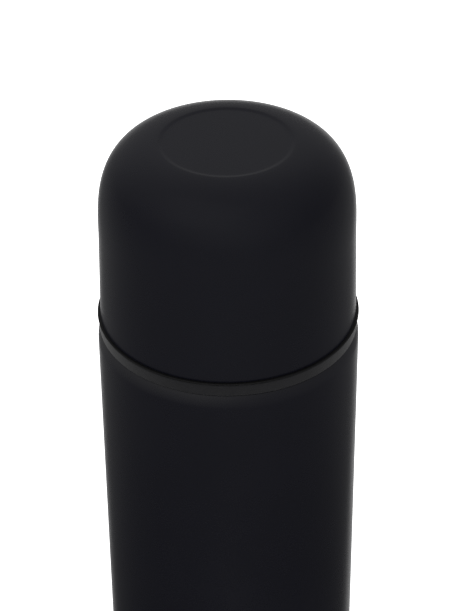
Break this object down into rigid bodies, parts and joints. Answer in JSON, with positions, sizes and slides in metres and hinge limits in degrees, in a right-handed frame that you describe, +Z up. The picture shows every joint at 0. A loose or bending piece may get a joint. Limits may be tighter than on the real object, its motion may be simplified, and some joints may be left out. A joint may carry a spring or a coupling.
{
  "type": "vacuum flask",
  "caption": "Slim cylindrical double-walled vacuum flask with a screw-on domed cup over a screw-in stopper with a push-button pouring valve.",
  "frame": {"origin": "on the flask's axis, in the plane that the base stands on", "axes": "+Z up along the flask's axis, towards the cup; +X and +Y are level, and the flask is round about Z"},
  "size_m": [0.07, 0.07, 0.245],
  "materials": {
    "black_paint": "matte soft-touch black paint on steel",
    "steel": "stainless steel, satin",
    "screw_steel": "bright stainless wire and screw",
    "foil": "bright crinkled foil",
    "collar_plastic": "dark grey plastic with a fine moulded grain",
    "liner_plastic": "smooth black polypropylene",
    "stopper_plastic": "black polypropylene, fine satin",
    "button_plastic": "dark grey polypropylene, satin",
    "silicone": "translucent pale silicone",
    "rubber": "matte black rubber",
    "foam": "white bead foam"
  },
  "bodies": {
    "flask": {"outer_shell": "black_paint", "inner_vessel": "steel", "base_plate": "steel", "vacuum_seal_plug": "steel", "base_pad": "rubber", "radiation_foil": "foil", "getter_capsule": "steel", "neck_collar": "collar_plastic", "collar_seal": "rubber"},
    "stopper_lift": {"stopper_gasket": "silicone"},
    "stopper": {"stopper_body": "stopper_plastic", "insulation_ring": "foam", "insulation_cover": "stopper_plastic", "stopper_deck": "stopper_plastic", "stem_guide": "stopper_plastic", "button_spring": "screw_steel"},
    "button": {"push_button": "button_plastic", "button_seal": "silicone", "valve_stem": "stopper_plastic", "valve_disc": "stopper_plastic", "valve_seal": "silicone", "valve_screw": "screw_steel"},
    "cup_lift": {"cup_shell": "black_paint"},
    "cup": {"cup_liner": "liner_plastic"}
  },
  "joints": [
    {"name": "stopper_rise", "type": "slide", "parent": "flask", "child": "stopper_lift", "axis": [0, 0, 1], "range_m": [0, 0.048]},
    {"name": "stopper_turn", "type": "hinge", "parent": "stopper_lift", "child": "stopper", "pos_m": [0, 0, 0.2], "axis": [0, 0, 1], "range_deg": [0, 2160]},
    {"name": "button_press", "type": "slide", "parent": "stopper", "child": "button", "axis": [0, 0, -1], "range_m": [0, 0.003], "stiffness_N_per_m": 500, "springref_m": -0.004, "deforming": ["button_spring"]},
    {"name": "cup_rise", "type": "slide", "parent": "stopper", "child": "cup_lift", "axis": [0, 0, 1], "range_m": [0, 0.04]},
    {"name": "cup_turn", "type": "hinge", "parent": "cup_lift", "child": "cup", "pos_m": [0, 0, 0.2], "axis": [0, 0, 1], "range_deg": [0, 1800]}
  ],
  "couplings": [
    {"joint": "stopper_rise", "follows": "stopper_turn", "m_per_rad": 0.0012732},
    {"joint": "cup_rise", "follows": "cup_turn", "m_per_rad": 0.0012732}
  ]
}
